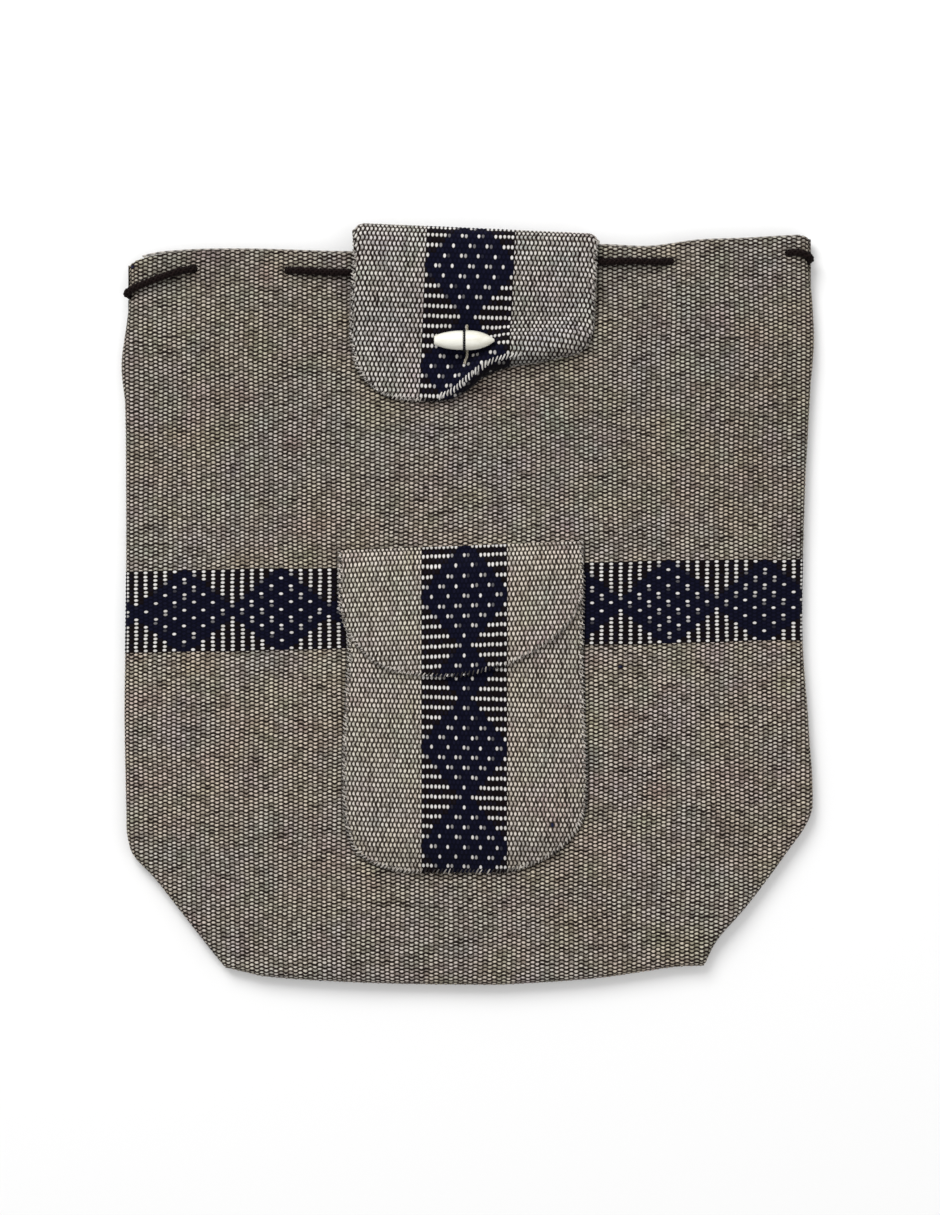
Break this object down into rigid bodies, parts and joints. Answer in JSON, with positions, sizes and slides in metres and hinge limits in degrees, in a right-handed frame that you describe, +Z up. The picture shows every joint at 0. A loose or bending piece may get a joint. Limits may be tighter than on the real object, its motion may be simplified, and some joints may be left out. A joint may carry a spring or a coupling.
{
  "type": "morral bag",
  "caption": "Flat woven drawstring shoulder bag lying on its back, with a folded mouth flap, a toggle and a flapped patch pocket.",
  "frame": {"origin": "middle of the whole bag's underside, on the surface that it lies on", "axes": "+Z up out of the bag's front, +Y towards the bag's mouth, +X to the right as its front is seen"},
  "size_m": [0.4032, 0.4428, 0.0303],
  "materials": {
    "body_cloth": "hand-woven wool, grey-beige yarn over a dark ground, with a navy diamond band",
    "flap_cloth": "hand-woven wool, paler grey-beige yarn over a dark ground, with a navy diamond band",
    "pocket_cloth": "hand-woven wool, paler grey-beige yarn over a dark ground, with a navy diamond band",
    "drawstring_cord": "braided cord, dark brown",
    "toggle_bone": "polished bone white",
    "dark_thread": "dark sewing thread",
    "raw_yarn": "undyed two-ply yarn"
  },
  "bodies": {
    "root": {"bag_body": "body_cloth", "main_flap": "flap_cloth", "pocket": "pocket_cloth", "pocket_flap": "pocket_cloth", "drawstring": "drawstring_cord", "toggle": "toggle_bone", "toggle_thread": "dark_thread", "toggle_loop": "raw_yarn"}
  },
  "joints": []
}
